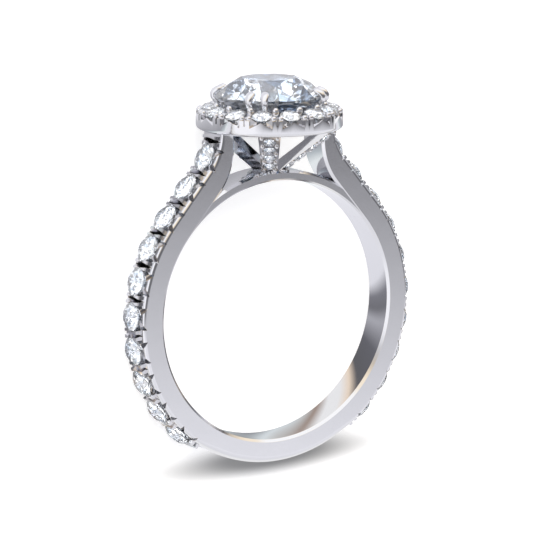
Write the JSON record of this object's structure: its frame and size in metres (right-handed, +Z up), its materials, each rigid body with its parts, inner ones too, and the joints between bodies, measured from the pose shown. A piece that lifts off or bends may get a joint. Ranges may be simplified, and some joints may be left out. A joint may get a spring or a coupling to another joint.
{
  "type": "halo engagement ring",
  "caption": "Ring with a round centre stone in paired claws, a round halo of small stones, a V-shaped gallery and stone-set cathedral shoulders.",
  "frame": {"origin": "bottom centre of the bounding box of the ring as it lies on its side, on the floor", "axes": "+Z up; +Y along the ring from the back of the band to the head; X across the ring. The finger axis leans back by the lie angle from +Z"},
  "size_m": [0.0212, 0.0252, 0.0095],
  "materials": {
    "white_gold": "polished 14 carat white gold, rhodium plated",
    "diamond": "clear, cut and polished"
  },
  "bodies": {
    "root": {"mounting": "white_gold", "centre_stone": "diamond", "gallery_stones": "diamond", "halo_stone_1": "diamond", "halo_stone_2": "diamond", "halo_stone_3": "diamond", "halo_stone_4": "diamond", "halo_stone_5": "diamond", "halo_stone_6": "diamond", "halo_stone_7": "diamond", "halo_stone_8": "diamond", "halo_stone_9": "diamond", "halo_stone_10": "diamond", "halo_stone_11": "diamond", "halo_stone_12": "diamond", "halo_stone_13": "diamond", "halo_stone_14": "diamond", "right_stone_1": "diamond", "right_stone_2": "diamond", "right_stone_3": "diamond", "right_stone_4": "diamond", "right_stone_5": "diamond", "right_stone_6": "diamond", "right_stone_7": "diamond", "right_stone_8": "diamond", "right_stone_9": "diamond", "right_stone_10": "diamond", "left_stone_1": "diamond", "left_stone_2": "diamond", "left_stone_3": "diamond", "left_stone_4": "diamond", "left_stone_5": "diamond", "left_stone_6": "diamond", "left_stone_7": "diamond", "left_stone_8": "diamond", "left_stone_9": "diamond", "left_stone_10": "diamond"}
  },
  "joints": []
}
